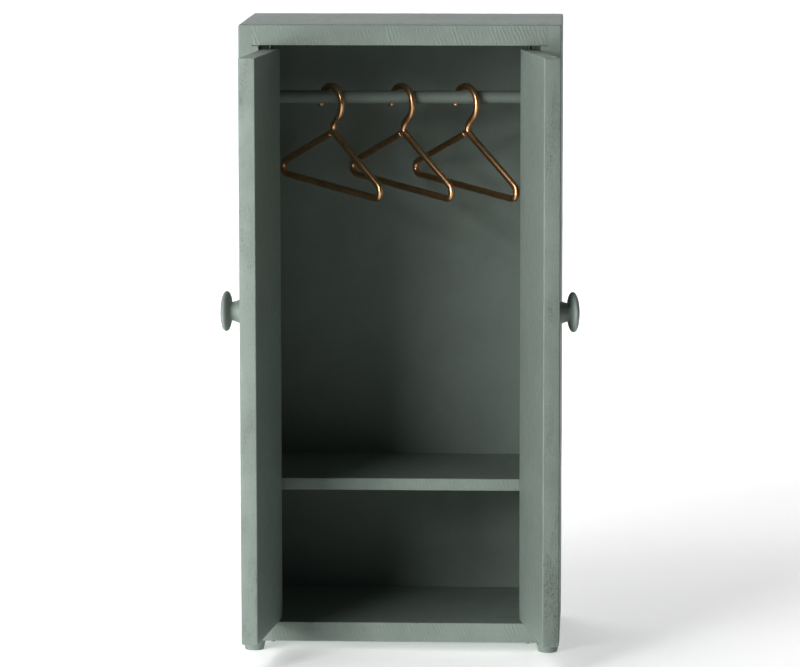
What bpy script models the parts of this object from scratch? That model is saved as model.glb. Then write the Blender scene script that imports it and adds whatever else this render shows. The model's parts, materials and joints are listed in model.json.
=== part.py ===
"""Miniature wardrobe for a dolls' house.

A painted wooden case stands on four short turned feet.  Its two doors turn on
steel pins, a shelf divides it, and three wire hangers hang on a wooden rail.
Units are metres.  +Z is up, the back is towards +Y, and the origin is on the
floor at the centre of the model's box, with both doors open.
"""

import math

import bmesh
import bpy
from mathutils import Matrix, Vector

MM = 0.001

# ---------------------------------------------------------------- driving sizes

WIDTH = 125.0 * MM            # outside of one side board to the outside of the other
HEIGHT = 246.9 * MM           # floor to the top of the case
DEPTH = 76.5 * MM             # front edges to the back
GAP = 0.3 * MM                # between two pieces that touch

SIDE = 8.08 * MM              # side and top board thickness
TONGUE = 5.4 * MM             # what is left of a side board outside its rabbets
FOOT_HEIGHT = 4.1 * MM
BOTTOM = 7.8 * MM             # bottom board thickness
BACK = 3.0 * MM               # back panel thickness
BACK_LAP = 4.0 * MM           # how far the back panel reaches into each board
EASE = 0.6 * MM               # worn radius on front edges
ROUND = 2.0 * MM              # sanded radius on the top and rear outer edges

SHELF_TOP = 67.3 * MM         # height of the shelf's upper face
SHELF = 4.8 * MM              # shelf thickness
SHELF_SETBACK = 12.4 * MM     # shelf's front edge, behind the case's front
SHELF_TONGUE = 2.4 * MM       # thickness of the tongues at the shelf's ends
HOUSING = 2.0 * MM            # depth of the housings that hold the tongues

RAIL_RADIUS = 2.57 * MM
RAIL_HEIGHT = 215.75 * MM
RAIL_BACK = 40.0 * MM         # rail's axis, behind the case's front
RAIL_SOCKET = 4.0 * MM        # depth of the rail's blind holes

DOOR = 6.4 * MM               # door thickness
DOOR_REACH = 49.75 * MM       # pin to the door's free edge
DOOR_TAIL = 3.45 * MM         # pin to the door's rounded edge
DOOR_PROUD = 0.1 * MM         # a closed door stands this far in front of the case
DOOR_GAP_TOP = 1.6 * MM
TAIL_ROUND = 2.4 * MM         # radius that lets the tail turn beside the side board
PIN_INSET = 4.25 * MM         # pin to the inner face of the side board
OPEN_LEFT = math.radians(96.1)
OPEN_RIGHT = math.radians(100.9)

PIN_RADIUS = 0.75 * MM
PIN_HOLE = PIN_RADIUS + GAP
PIN_IN_DOOR = 8.0 * MM
PIN_IN_TOP = 5.0 * MM
PIN_BELOW = 0.65 * MM         # the lower pins show this much under the bottom board

KNOB_HEIGHT = 139.9 * MM
KNOB_INSET = 9.5 * MM         # knob's axis to the door's free edge
TENON_RADIUS = 1.5 * MM
TENON = 5.0 * MM

FOOT_INSET = 4.6 * MM         # foot's axis to the outside of the case
FOOT_TOP = 4.5 * MM           # radius under the case
FOOT_TIP = 3.8 * MM           # radius on the floor
FOOT_EASE = 0.5 * MM

WIRE = 1.3 * MM               # hanger wire's radius
HOOK = 7.0 * MM               # radius of the hook's centre line
HOOK_LIFT = 0.5 * MM          # hook clear of the rail's upper side
HOOK_SHIFT = 0.4 * MM         # hook's centre beside the point that it hangs from
NECK_SIDE = 2.4 * MM          # neck beside the hanging point
NECK_DROP = 18.0 * MM         # neck below the hanging point
ARM_HALF = 42.0 * MM          # neck to a corner of the triangle, level
ARM_DROP = 21.8 * MM          # neck to a corner of the triangle, down
CORNER = 2.8 * MM             # bend at the two lower corners
NECK_BEND = 2.2 * MM
HANGER_TURN = math.radians(51.0)        # each hanger's plane, turned from the rail
HANGER_PLACES = {"left": -28.9 * MM, "middle": -0.8 * MM, "right": 24.6 * MM}

# ------------------------------------------------------------------ worked sizes

HALF = WIDTH / 2
OPENING = HALF - SIDE                   # centre line to a side board's inner face
FLOOR = FOOT_HEIGHT + BOTTOM            # upper face of the bottom board
CEILING = HEIGHT - SIDE                 # lower face of the top board
BOARD_END = HALF - TONGUE - GAP         # centre line to the ends of top and bottom
BACK_FRONT = DEPTH - BACK               # front face of the back panel
PIN_X = OPENING - PIN_INSET
DOOR_INNER = DOOR / 2 - DOOR_PROUD      # pin's axis to the door's inner face
DOOR_OUTER = DOOR - DOOR_INNER          # pin's axis to the door's outer face
PIN_Y = DOOR_OUTER - DOOR_PROUD
DOOR_LOW = FLOOR + GAP
DOOR_HIGH = CEILING - DOOR_GAP_TOP
PAST = 1.0 * MM                         # how far a cutter runs out of its board


# ------------------------------------------------------------------------ helpers

def clear_scene():
    for thing in list(bpy.data.objects):
        bpy.data.objects.remove(thing, do_unlink=True)


def material(name, colour, roughness, metallic=0.0):
    made = bpy.data.materials.new(name)
    made.use_nodes = True
    shader = made.node_tree.nodes["Principled BSDF"]
    shader.inputs["Base Color"].default_value = (*colour, 1.0)
    shader.inputs["Roughness"].default_value = roughness
    shader.inputs["Metallic"].default_value = metallic
    return made


def finish(name, bm, finish_material, parent, location=(0, 0, 0), turn=0.0, tip=0.0):
    """Turn a bmesh into a named object: turn is about Z, tip about X."""
    bmesh.ops.recalc_face_normals(bm, faces=bm.faces)
    mesh = bpy.data.meshes.new(name)
    bm.to_mesh(mesh)
    bm.free()
    mesh.shade_smooth()
    mesh.set_sharp_from_angle(angle=math.radians(35))
    thing = bpy.data.objects.new(name, mesh)
    bpy.context.scene.collection.objects.link(thing)
    thing.parent = parent
    thing.location = location
    thing.rotation_euler = (tip, 0.0, turn)
    if finish_material:
        thing.data.materials.append(finish_material)
    return thing


def prism(outline, low, high, along):
    """Push a flat outline along Y (outline in X, Z) or along Z (outline in X, Y)."""
    bm = bmesh.new()
    order = (0, 2, 1) if along == "Y" else (0, 1, 2)

    def ring(level):
        corners = []
        for a, b in outline:
            point = (a, b, level)
            corners.append(bm.verts.new([point[i] for i in order]))
        return corners

    near = ring(low)
    far = ring(high)
    bm.faces.new(near)
    bm.faces.new(far)
    count = len(outline)
    for i in range(count):
        j = (i + 1) % count
        bm.faces.new((near[i], near[j], far[j], far[i]))
    bmesh.ops.recalc_face_normals(bm, faces=bm.faces)
    return bm


def box(low, high):
    outline = [(low[0], low[2]), (high[0], low[2]), (high[0], high[2]), (low[0], high[2])]
    return prism(outline, low[1], high[1], "Y")


def on(edge, **planes):
    """True where both ends of an edge lie on every plane named, such as x=0.1."""
    for axis, value in planes.items():
        index = "xyz".index(axis)
        if any(abs(vert.co[index] - value) > 1e-6 for vert in edge.verts):
            return False
    return True


def ease(bm, radius, *places, segments=3):
    """Round the edges that lie on any of the given pairs of planes."""
    picked = [edge for edge in bm.edges if any(on(edge, **planes) for planes in places)]
    bmesh.ops.bevel(
        bm, geom=picked, offset=radius, segments=segments, profile=0.5, affect="EDGES"
    )


def turned(profile, segments=28):
    """Turn (radius, height) pairs about Z; a radius of 0 closes an end."""
    bm = bmesh.new()
    rings = []
    for radius, height in profile:
        if radius == 0:
            rings.append([bm.verts.new((0, 0, height))])
            continue
        ring = []
        for k in range(segments):
            angle = math.tau * k / segments
            ring.append(bm.verts.new((radius * math.cos(angle), radius * math.sin(angle), height)))
        rings.append(ring)
    for lower, upper in zip(rings, rings[1:]):
        for k in range(segments):
            n = (k + 1) % segments
            corners = [lower[k % len(lower)], lower[n % len(lower)]]
            corners += [upper[n % len(upper)], upper[k % len(upper)]]
            bm.faces.new(list(dict.fromkeys(corners)))
    return bm


def peg(radius, low, high, segments=20):
    """A plain round peg on Z, with its ends broken by a small chamfer."""
    chamfer = radius * 0.25
    profile = [(0, low), (radius - chamfer, low), (radius, low + chamfer)]
    profile += [(radius, high - chamfer), (radius - chamfer, high), (0, high)]
    return turned(profile, segments)


def cut(target, cutter):
    """Leave a cutter on an object as an exact Boolean difference."""
    cutter.hide_render = True
    cutter.display_type = "WIRE"
    modifier = target.modifiers.new(cutter.name, "BOOLEAN")
    modifier.operation = "DIFFERENCE"
    modifier.solver = "EXACT"
    modifier.object = cutter


def drill(target, name, parent, location, radius, low, high, tip=0.0, turn=0.0):
    """Cut a round hole from height low to height high on the tipped Z axis."""
    hole = turned([(0, low), (radius, low), (radius, high), (0, high)], 20)
    cut(target, finish(name, hole, None, parent, location, turn, tip))


def round_corner(centre, radius, start, end, steps):
    """Points of an arc about centre, angles in degrees."""
    points = []
    for k in range(steps + 1):
        angle = math.radians(start + (end - start) * k / steps)
        points.append((centre[0] + radius * math.cos(angle), centre[1] + radius * math.sin(angle)))
    return points


# ----------------------------------------------------------------------- the case

def make_side(name, hand, paint, parent):
    """Side board: rabbeted for top, bottom and back, housed for the shelf."""
    outer = hand * HALF
    inner = hand * OPENING
    tongue = hand * (HALF - TONGUE)
    outline = [
        (outer, FOOT_HEIGHT), (tongue, FOOT_HEIGHT), (tongue, FLOOR + GAP), (inner, FLOOR + GAP),
        (inner, CEILING - GAP), (tongue, CEILING - GAP), (tongue, HEIGHT), (outer, HEIGHT),
    ]
    bm = prism(outline, 0.0, DEPTH, "Y")
    ease(bm, ROUND, {"z": HEIGHT, "y": DEPTH}, {"x": outer, "y": DEPTH})
    ease(bm, ROUND * 0.6, {"x": outer, "z": HEIGHT}, {"x": outer, "y": 0.0})
    ease(bm, EASE, {"z": HEIGHT, "y": 0.0}, {"x": inner, "y": 0.0}, segments=2)
    board = finish(name, bm, paint, parent)

    shelf_low = SHELF_TOP - SHELF - GAP
    housing_end = inner + HOUSING * hand
    clear = inner - PAST * hand
    housing = box(
        (min(housing_end, clear), SHELF_SETBACK - GAP, shelf_low),
        (max(housing_end, clear), DEPTH + PAST, shelf_low + SHELF_TONGUE + 2 * GAP),
    )
    cut(board, finish(name + "_shelf_housing", housing, None, parent))
    lap = inner + BACK_LAP * hand
    rabbet = box(
        (min(lap, clear), BACK_FRONT - GAP, FLOOR - BACK_LAP),
        (max(lap, clear), DEPTH + PAST, CEILING + BACK_LAP),
    )
    cut(board, finish(name + "_back_rabbet", rabbet, None, parent))
    socket = (inner, RAIL_BACK, RAIL_HEIGHT)
    quarter = hand * math.pi / 2
    drill(board, name + "_rail_socket", parent, socket, RAIL_RADIUS + GAP, -PAST, RAIL_SOCKET,
          tip=math.pi / 2, turn=quarter)
    return board


def make_end_board(name, low, high, paint, parent):
    """Top or bottom board, with a rabbet for the back panel on its inner face."""
    outline = [(-BOARD_END, low), (BOARD_END, low), (BOARD_END, high), (-BOARD_END, high)]
    bm = prism(outline, 0.0, DEPTH, "Y")
    is_top = high == HEIGHT
    outside = high if is_top else low
    inside = low if is_top else high
    if is_top:
        ease(bm, ROUND, {"z": outside, "y": DEPTH})
    ease(bm, EASE, {"z": outside, "y": 0.0}, {"z": inside, "y": 0.0}, segments=2)
    board = finish(name, bm, paint, parent)

    reach = inside + (BACK_LAP if is_top else -BACK_LAP)
    clear = inside - (PAST if is_top else -PAST)
    rabbet = box(
        (-HALF, BACK_FRONT - GAP, min(reach, clear)), (HALF, DEPTH + PAST, max(reach, clear))
    )
    cut(board, finish(name + "_back_rabbet", rabbet, None, parent))
    depth = PIN_IN_TOP + GAP if is_top else BOTTOM + PAST
    for side, hand in (("left", -1), ("right", 1)):
        place = (hand * PIN_X, PIN_Y, inside)
        low_end, high_end = (-PAST, depth) if is_top else (-depth, PAST)
        drill(board, f"{name}_pin_hole_{side}", parent, place, PIN_HOLE, low_end, high_end)
    return board


def make_back(paint, parent):
    side = OPENING + BACK_LAP - GAP
    low = (-side, BACK_FRONT, FLOOR - BACK_LAP + GAP)
    high = (side, DEPTH, CEILING + BACK_LAP - GAP)
    return finish("back_panel", box(low, high), paint, parent)


def make_shelf(paint, parent):
    """Shelf with a tongue low on each end, so its upper face ends at the side boards."""
    reach = OPENING + HOUSING - GAP
    shoulder = OPENING - GAP
    low = SHELF_TOP - SHELF
    tongue = low + SHELF_TONGUE
    outline = [
        (-reach, low), (reach, low), (reach, tongue), (shoulder, tongue),
        (shoulder, SHELF_TOP), (-shoulder, SHELF_TOP), (-shoulder, tongue), (-reach, tongue),
    ]
    bm = prism(outline, SHELF_SETBACK, BACK_FRONT - GAP, "Y")
    ease(bm, EASE * 0.6, {"y": SHELF_SETBACK, "z": SHELF_TOP},
         {"y": SHELF_SETBACK, "z": SHELF_TOP - SHELF}, segments=2)
    return finish("shelf", bm, paint, parent)


def make_rail(paint, parent):
    half = OPENING + RAIL_SOCKET - GAP
    bm = peg(RAIL_RADIUS, -half, half, 32)
    place = (0.0, RAIL_BACK, RAIL_HEIGHT)
    return finish("clothes_rail", bm, paint, parent, place, math.pi / 2, math.pi / 2)


def make_feet(paint, parent):
    """Four short turned feet, tapering down, glued under the corners."""
    top = FOOT_HEIGHT - GAP
    profile = [(0, 0), (FOOT_TIP - FOOT_EASE, 0), (FOOT_TIP - FOOT_EASE * 0.3, FOOT_EASE * 0.3)]
    profile += [(FOOT_TIP, FOOT_EASE), (FOOT_TOP, top), (0, top)]
    for depth_word, y in (("front", FOOT_INSET), ("rear", DEPTH - FOOT_INSET)):
        for side, hand in (("left", -1), ("right", 1)):
            place = (hand * (HALF - FOOT_INSET), y, 0.0)
            finish(f"foot_{depth_word}_{side}", turned(profile, 24), paint, parent, place)


def make_pins(steel, parent):
    """Steel pins that the doors turn on, fixed in the top and bottom boards."""
    for side, hand in (("left", -1), ("right", 1)):
        place = (hand * PIN_X, PIN_Y, 0.0)
        upper = peg(PIN_RADIUS, DOOR_HIGH - PIN_IN_DOOR, CEILING + PIN_IN_TOP, 16)
        finish(f"pivot_pin_top_{side}", upper, steel, parent, place)
        lower = peg(PIN_RADIUS, FOOT_HEIGHT - PIN_BELOW, DOOR_LOW + PIN_IN_DOOR, 16)
        finish(f"pivot_pin_bottom_{side}", lower, steel, parent, place)


# ---------------------------------------------------------------------- the doors

def door_outline(hand):
    """Plan of a closed door about its pin; the outer face is towards -Y."""
    tail = -DOOR_TAIL
    outer = -DOOR_OUTER
    inner = DOOR_INNER
    small = EASE * 1.5
    points = round_corner((tail + TAIL_ROUND, outer + TAIL_ROUND), TAIL_ROUND, 180, 270, 6)
    points += round_corner((DOOR_REACH - EASE, outer + EASE), EASE, 270, 360, 2)
    points += round_corner((DOOR_REACH - EASE, inner - EASE), EASE, 0, 90, 2)
    points += round_corner((tail + small, inner - small), small, 90, 180, 3)
    return [(-hand * x, y) for x, y in points]


def make_door(side, hand, opening, paint, parent):
    """A door leaf with its origin on the pins' axis, and its glued knob."""
    bm = prism(door_outline(hand), DOOR_LOW, DOOR_HIGH, "Z")
    rims = [edge for edge in bm.edges if on(edge, z=DOOR_LOW) or on(edge, z=DOOR_HIGH)]
    bmesh.ops.bevel(bm, geom=rims, offset=EASE * 0.7, segments=1, affect="EDGES")
    place = (hand * PIN_X, PIN_Y, 0.0)
    door = finish(f"door_{side}", bm, paint, parent, place, hand * opening)
    depth = PIN_IN_DOOR + GAP
    drill(door, f"door_{side}_upper_hole", door, (0, 0, DOOR_HIGH), PIN_HOLE, -depth, PAST)
    drill(door, f"door_{side}_lower_hole", door, (0, 0, DOOR_LOW), PIN_HOLE, -PAST, depth)
    knob_x = -hand * (DOOR_REACH - KNOB_INSET)
    seat = (knob_x, -DOOR_OUTER, KNOB_HEIGHT)
    drill(door, f"door_{side}_knob_hole", door, seat, TENON_RADIUS + GAP,
          -TENON - GAP, PAST, tip=math.pi / 2)
    make_knob(side, paint, door, seat)
    return door


def knob_profile():
    """Half section of a knob, heights measured from the door's face."""
    pairs = [
        (0.0, -5.0), (1.3, -5.0), (1.5, -4.8), (1.5, 0.3),      # tenon
        (4.7, 0.3), (4.3, 1.6), (3.8, 2.9), (3.6, 3.7),         # flared neck
        (3.9, 4.3), (5.2, 4.7), (6.6, 5.2), (7.4, 5.8),         # underside of the disc
        (7.7, 6.6), (7.4, 7.3), (6.6, 7.9), (5.2, 8.3),         # rim
        (3.2, 8.6), (2.2, 8.7), (1.6, 9.0), (1.0, 8.75), (0.0, 8.7),  # face and its ring
    ]
    return [(radius * MM, height * MM) for radius, height in pairs]


def make_knob(side, paint, door, seat):
    return finish(f"knob_{side}", turned(knob_profile()), paint, door, seat, tip=math.pi / 2)


# -------------------------------------------------------------------- the hangers

def rounded_path(points, radii):
    """A polyline whose inner corners become arcs; its two ends stay as given."""
    path = [Vector(points[0])]
    for before, corner, after, radius in zip(points, points[1:], points[2:], radii):
        corner = Vector(corner)
        back = (Vector(before) - corner).normalized()
        ahead = (Vector(after) - corner).normalized()
        half_angle = back.angle(ahead) / 2
        centre = corner + (back + ahead).normalized() * (radius / math.sin(half_angle))
        first = corner + back * (radius / math.tan(half_angle)) - centre
        last = corner + ahead * (radius / math.tan(half_angle)) - centre
        sweep = math.atan2(first.cross(last), first.dot(last))
        steps = max(3, round(abs(math.degrees(sweep)) / 15))
        for k in range(steps + 1):
            path.append(centre + Matrix.Rotation(sweep * k / steps, 2) @ first)
    path.append(Vector(points[-1]))
    return path


def hanger_path():
    """Centre line of the wire in the hanger's plane; its hanging point is (0, 0)."""
    hook_centre = Vector((HOOK_SHIFT, -HOOK))
    hook = [Vector(p) for p in round_corner(hook_centre, HOOK, 191, -25, 18)]
    leave = math.radians(-25)
    start = hook[-1]
    start_lean = Vector((math.sin(leave), -math.cos(leave))) * 2.6 * MM
    neck = Vector((NECK_SIDE, -NECK_DROP))
    end = neck + Vector((0.0, 1.6 * MM))
    end_lean = Vector((0.0, 2.6 * MM))
    bend = []
    for k in range(1, 6):
        t = k / 6
        s = 1 - t
        bend.append(start * s**3 + (start + start_lean) * 3 * s * s * t
                    + (end + end_lean) * 3 * s * t * t + end * t**3)
    front = neck + Vector((ARM_HALF, -ARM_DROP))
    rear = neck + Vector((-ARM_HALF, -ARM_DROP))
    slope = (neck - rear).normalized()
    stop = neck - slope * 2.7 * MM
    return hook + bend + rounded_path([end, neck, front, rear, stop], [NECK_BEND, CORNER, CORNER])


def balance(path):
    """Angle that brings the wire's centre of mass under its hanging point."""
    total = 0.0
    moment = Vector((0.0, 0.0))
    for a, b in zip(path, path[1:]):
        length = (b - a).length
        total += length
        moment += (a + b) / 2 * length
    centre = moment / total
    return math.atan2(centre.x, -centre.y)


def wire_mesh(path, sides=10):
    """A round wire swept along a flat path in X and Z, with flat ends."""
    bm = bmesh.new()
    rings = []
    last = len(path) - 1
    for i, point in enumerate(path):
        before = (point - path[i - 1]).normalized() if i > 0 else None
        after = (path[i + 1] - point).normalized() if i < last else None
        along = ((before or after) + (after or before)).normalized()
        across = Vector((-along.y, 0.0, along.x))
        stretch = 1.0 if before is None or after is None else 1.0 / along.dot(after)
        ring = []
        for k in range(sides):
            angle = math.tau * k / sides
            offset = across * math.cos(angle) * stretch + Vector((0, 1, 0)) * math.sin(angle)
            ring.append(bm.verts.new(Vector((point.x, 0.0, point.y)) + offset * WIRE))
        rings.append(ring)
    for a, b in zip(rings, rings[1:]):
        for k in range(sides):
            n = (k + 1) % sides
            bm.faces.new((a[k], a[n], b[n], b[k]))
    bm.faces.new(rings[0])
    bm.faces.new(rings[-1])
    return bm


def make_hangers(metal, parent):
    """Three wire hangers, each with its origin on the rail's axis."""
    path = hanger_path()
    lean = Matrix.Rotation(-balance(path), 2)
    lift = Vector((0.0, RAIL_RADIUS + HOOK_LIFT + WIRE))
    path = [lean @ point + lift for point in path]
    for name, x in HANGER_PLACES.items():
        place = (x, RAIL_BACK, RAIL_HEIGHT)
        finish(f"hanger_{name}", wire_mesh(path), metal, parent, place, -HANGER_TURN)


# -------------------------------------------------------------------- put together

def stand_on_origin(root):
    """Move the whole model so that the middle of its box's base is the origin."""
    bpy.context.view_layer.update()
    graph = bpy.context.evaluated_depsgraph_get()
    corners = []
    for thing in bpy.data.objects:
        if thing.type == "MESH" and not thing.hide_render:
            shape = thing.evaluated_get(graph)
            corners += [shape.matrix_world @ vert.co for vert in shape.data.vertices]
    low = Vector([min(corner[i] for corner in corners) for i in range(3)])
    high = Vector([max(corner[i] for corner in corners) for i in range(3)])
    root.location = (-(low.x + high.x) / 2, -(low.y + high.y) / 2, -low.z)
    bpy.context.view_layer.update()


def build():
    clear_scene()
    root = bpy.data.objects.new("wardrobe", None)
    bpy.context.scene.collection.objects.link(root)
    paint = material("sage_paint", (0.24, 0.31, 0.28), 0.55)
    inside = material("sage_paint_inside", (0.22, 0.29, 0.26), 0.6)
    steel = material("pin_steel", (0.55, 0.55, 0.53), 0.35, 1.0)
    copper = material("copper_wire", (0.62, 0.36, 0.18), 0.3, 1.0)

    make_side("side_panel_left", -1, paint, root)
    make_side("side_panel_right", 1, paint, root)
    make_end_board("top_panel", CEILING, HEIGHT, paint, root)
    make_end_board("bottom_panel", FOOT_HEIGHT, FLOOR, paint, root)
    make_back(inside, root)
    make_shelf(inside, root)
    make_rail(paint, root)
    make_feet(paint, root)
    make_pins(steel, root)
    make_door("left", -1, OPEN_LEFT, paint, root)
    make_door("right", 1, OPEN_RIGHT, paint, root)
    make_hangers(copper, root)
    stand_on_origin(root)


build()
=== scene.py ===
# %% [markdown]
# A miniature wardrobe for a dolls' house
#
# The real thing is a small case of painted wood, about 25 cm high, with two
# doors that turn on steel pins, a shelf, a rail and three bent wire hangers.
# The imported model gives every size, place and joint.  This lesson builds the
# pieces that are seen: boards with soft sanded edges, turned knobs and feet,
# bent wire, and the paint and metal that cover them.

# %% Load the frame that every piece is built around
import json
import math

import bmesh
import bpy
import numpy as np
from mathutils import Matrix, Vector, noise


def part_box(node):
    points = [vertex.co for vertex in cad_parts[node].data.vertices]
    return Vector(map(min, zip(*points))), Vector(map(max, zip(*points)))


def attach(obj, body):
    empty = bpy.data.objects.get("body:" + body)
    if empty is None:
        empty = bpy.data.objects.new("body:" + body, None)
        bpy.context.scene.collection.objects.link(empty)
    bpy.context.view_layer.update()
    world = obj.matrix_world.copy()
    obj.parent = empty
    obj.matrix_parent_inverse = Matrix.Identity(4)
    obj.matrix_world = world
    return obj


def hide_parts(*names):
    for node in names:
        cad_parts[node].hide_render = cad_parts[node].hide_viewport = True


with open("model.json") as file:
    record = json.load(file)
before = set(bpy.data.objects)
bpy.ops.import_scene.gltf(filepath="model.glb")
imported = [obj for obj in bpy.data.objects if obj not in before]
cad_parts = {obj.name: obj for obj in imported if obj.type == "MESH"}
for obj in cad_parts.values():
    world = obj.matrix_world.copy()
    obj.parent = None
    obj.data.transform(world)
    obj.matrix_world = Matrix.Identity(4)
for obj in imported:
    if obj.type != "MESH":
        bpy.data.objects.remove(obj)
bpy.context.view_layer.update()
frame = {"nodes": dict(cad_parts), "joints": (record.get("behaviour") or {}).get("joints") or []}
MM = 0.001
joints = {joint["name"]: joint for joint in frame["joints"]}

# %% [markdown]
# Sizes of the case
#
# A box per node is enough to rebuild the case: the side boards give the width
# and height, the boards between them give the floor and the ceiling.  Reading
# them from the frame keeps the looks and the working parts together.

# %% Read the case's sizes
left_low, left_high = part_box("side_panel_left")
right_low, right_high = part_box("side_panel_right")
top_low, top_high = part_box("top_panel")
bottom_low, bottom_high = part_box("bottom_panel")
back_low, back_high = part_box("back_panel")
shelf_low, shelf_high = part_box("shelf")
MIDDLE = (left_low.x + right_high.x) / 2
FRONT = left_low.y
REAR = left_high.y
CEILING = top_low.z
FLOOR = bottom_high.z
JOINT_GAP = 0.004 * MM        # a glued joint, painted over
print("case in mm:", [round(v / MM, 1) for v in (right_high.x - left_low.x, REAR - FRONT, left_high.z)])

# %% [markdown]
# Outlines and lofts
#
# Every board is a rounded outline carried along its length.  A cube with a
# bevel would be quicker, but its long faces stay dead flat.  A loft with a
# ring every few millimetres lets the surface wander by a few hundredths of a
# millimetre, as sanded and brushed wood does, and the edges catch the light
# unevenly.

# %% Rounded outlines
SPACING = 3.0 * MM


def rounded_outline(corners, steps=5):
    """Points round a closed outline; each corner is (x, y, radius)."""
    points = []
    count = len(corners)
    for i, (x, y, radius) in enumerate(corners):
        here = Vector((x, y))
        back = (Vector(corners[i - 1][:2]) - here).normalized()
        ahead = (Vector(corners[(i + 1) % count][:2]) - here).normalized()
        if radius <= 0:
            points.append(here)
            continue
        half = back.angle(ahead) / 2
        centre = here + (back + ahead).normalized() * (radius / math.sin(half))
        first = here + back * (radius / math.tan(half)) - centre
        last = here + ahead * (radius / math.tan(half)) - centre
        sweep = math.atan2(first.cross(last), first.dot(last))
        points += [centre + Matrix.Rotation(sweep * k / steps, 2) @ first for k in range(steps + 1)]
    return points


def filled_outline(points, spacing=SPACING, closed=True):
    """The same outline with extra points along its long straight stretches."""
    full = []
    for a, b in zip(points, points[1:] + points[:1] if closed else points[1:]):
        pieces = max(1, round((b - a).length / spacing))
        full += [a.lerp(b, k / pieces) for k in range(pieces)]
    return full if closed else full + points[-1:]


print("an outline helper rounds corners and fills straights every", SPACING / MM, "mm")


# %% Lofts along one axis
def stations(low, high, ease, spacing=SPACING, stop_ease=None):
    """(place, inset) pairs along a length, its ends rounded by ease and stop_ease."""
    last = ease if stop_ease is None else stop_ease
    arc = [math.radians(18 * k) for k in range(6)]
    start = [(low + ease * (1 - math.sin(a)), ease * (1 - math.cos(a))) for a in reversed(arc)]
    room = high - low - ease - last
    pieces = max(2, round(room / spacing))
    run = [low + ease + room * k / pieces for k in range(1, pieces)]
    stop = [(high - last * (1 - math.sin(a)), last * (1 - math.cos(a))) for a in arc]
    return start + [(place, 0.0) for place in run] + stop


def loft(rings):
    """A closed mesh through rings of equal count."""
    bm = bmesh.new()
    made = [[bm.verts.new(point) for point in ring] for ring in rings]
    count = len(made[0])
    for a, b in zip(made, made[1:]):
        for k in range(count):
            n = (k + 1) % count
            bm.faces.new((a[k], a[n], b[n], b[k]))
    bm.faces.new(made[0])
    bm.faces.new(made[-1])
    bmesh.ops.recalc_face_normals(bm, faces=bm.faces)
    return bm


def pulled_in(points, inset, fixed=None):
    """An outline drawn in by inset on each side, or towards a fixed point."""
    low = Vector((min(p.x for p in points), min(p.y for p in points)))
    high = Vector((max(p.x for p in points), max(p.y for p in points)))
    anchor = (low + high) / 2 if fixed is None else Vector(fixed)
    moved = []
    for p in points:
        spot = Vector((0.0, 0.0))
        for i in range(2):
            reach = max(high[i] - anchor[i], anchor[i] - low[i], 1e-6)
            spot[i] = anchor[i] + (p[i] - anchor[i]) * (1 - inset / reach)
        moved.append(spot)
    return moved


AXES = {"x": lambda place, p: (place, p.x, p.y),
        "z": lambda place, p: (p.x, p.y, place)}


def board_mesh(outline, axis, low, high, ease):
    """An outline carried along an axis, its ends rounded by ease."""
    place_point = AXES[axis]
    rings = []
    for place, inset in stations(low, high, ease):
        rings.append([place_point(place, p) for p in pulled_in(outline, inset)])
    return loft(rings)


print("lofts run along", " or ".join(AXES))


# %% Hand-worked unevenness, and the finished object
def wander(bm, amount, size, seed):
    """Move each vertex along its normal by smooth noise of a given size."""
    bm.normal_update()
    offset = Vector((seed * 7.31, seed * 3.17, seed * 5.77))
    for vert in bm.verts:
        lift = noise.noise(vert.co / size + offset) + 0.4 * noise.noise(vert.co / size * 3.1 + offset)
        vert.co += vert.normal * (amount * lift)


def finished(name, bm, materials, body, replaces=(), turn=None, sharp=50, edge_test=None):
    """Bmesh to named object that rides on a body and replaces its CAD nodes."""
    bm.normal_update()
    if edge_test is not None:
        for face in bm.faces:
            face.material_index = 1 if edge_test(face) else 0
    if turn is not None:
        bm.transform(turn)
    mesh = bpy.data.meshes.new(name)
    bm.to_mesh(mesh)
    bm.free()
    mesh.shade_smooth()
    mesh.set_sharp_from_angle(angle=math.radians(sharp))
    thing = bpy.data.objects.new(name, mesh)
    bpy.context.scene.collection.objects.link(thing)
    for surface in materials:
        mesh.materials.append(surface)
    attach(thing, body)
    if replaces:
        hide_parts(*replaces)
    print(name, len(mesh.polygons), "faces, rides on", body)
    return thing


# %% [markdown]
# Surface effects shared by the materials
#
# The paint is one thin, slightly chalky coat over sanded wood.  Six effects
# make it: cloudy colour, a fine skin relief, ripples that a cutter left across
# the front edges, worn edges, specks with small dents, and rubbed patches with
# open pores.  Each effect is a node group with its own inputs, so that a door,
# a knob and a board can use the same effect at their own strength.  All places
# are in millimetres.

# %% Helpers for node groups
def new_group(name, inputs, outputs):
    """A shader group; inputs and outputs are (name, socket type, default)."""
    tree = bpy.data.node_groups.new(name, "ShaderNodeTree")
    kinds = {"value": "NodeSocketFloat", "colour": "NodeSocketColor", "vector": "NodeSocketVector"}
    for label, kind, default in inputs:
        socket = tree.interface.new_socket(name=label, in_out="INPUT", socket_type=kinds[kind])
        if default is not None:
            socket.default_value = default
    for label, kind in outputs:
        tree.interface.new_socket(name=label, in_out="OUTPUT", socket_type=kinds[kind])
    source = tree.nodes.new("NodeGroupInput")
    result = tree.nodes.new("NodeGroupOutput")
    return tree, source.outputs, result.inputs


def plug(tree, socket, value):
    """Link an output to a socket, or set the socket's own value."""
    if isinstance(value, bpy.types.NodeSocket):
        tree.links.new(value, socket)
    else:
        socket.default_value = value


def math_node(tree, operation, a, b=0.0, c=None, clamp=False):
    """One sum on values or sockets; c is only for operations that take three."""
    node = tree.nodes.new("ShaderNodeMath")
    node.operation = operation
    node.use_clamp = clamp
    plug(tree, node.inputs[0], a)
    plug(tree, node.inputs[1], b)
    if c is not None:
        plug(tree, node.inputs[2], c)
    return node.outputs[0]


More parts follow.
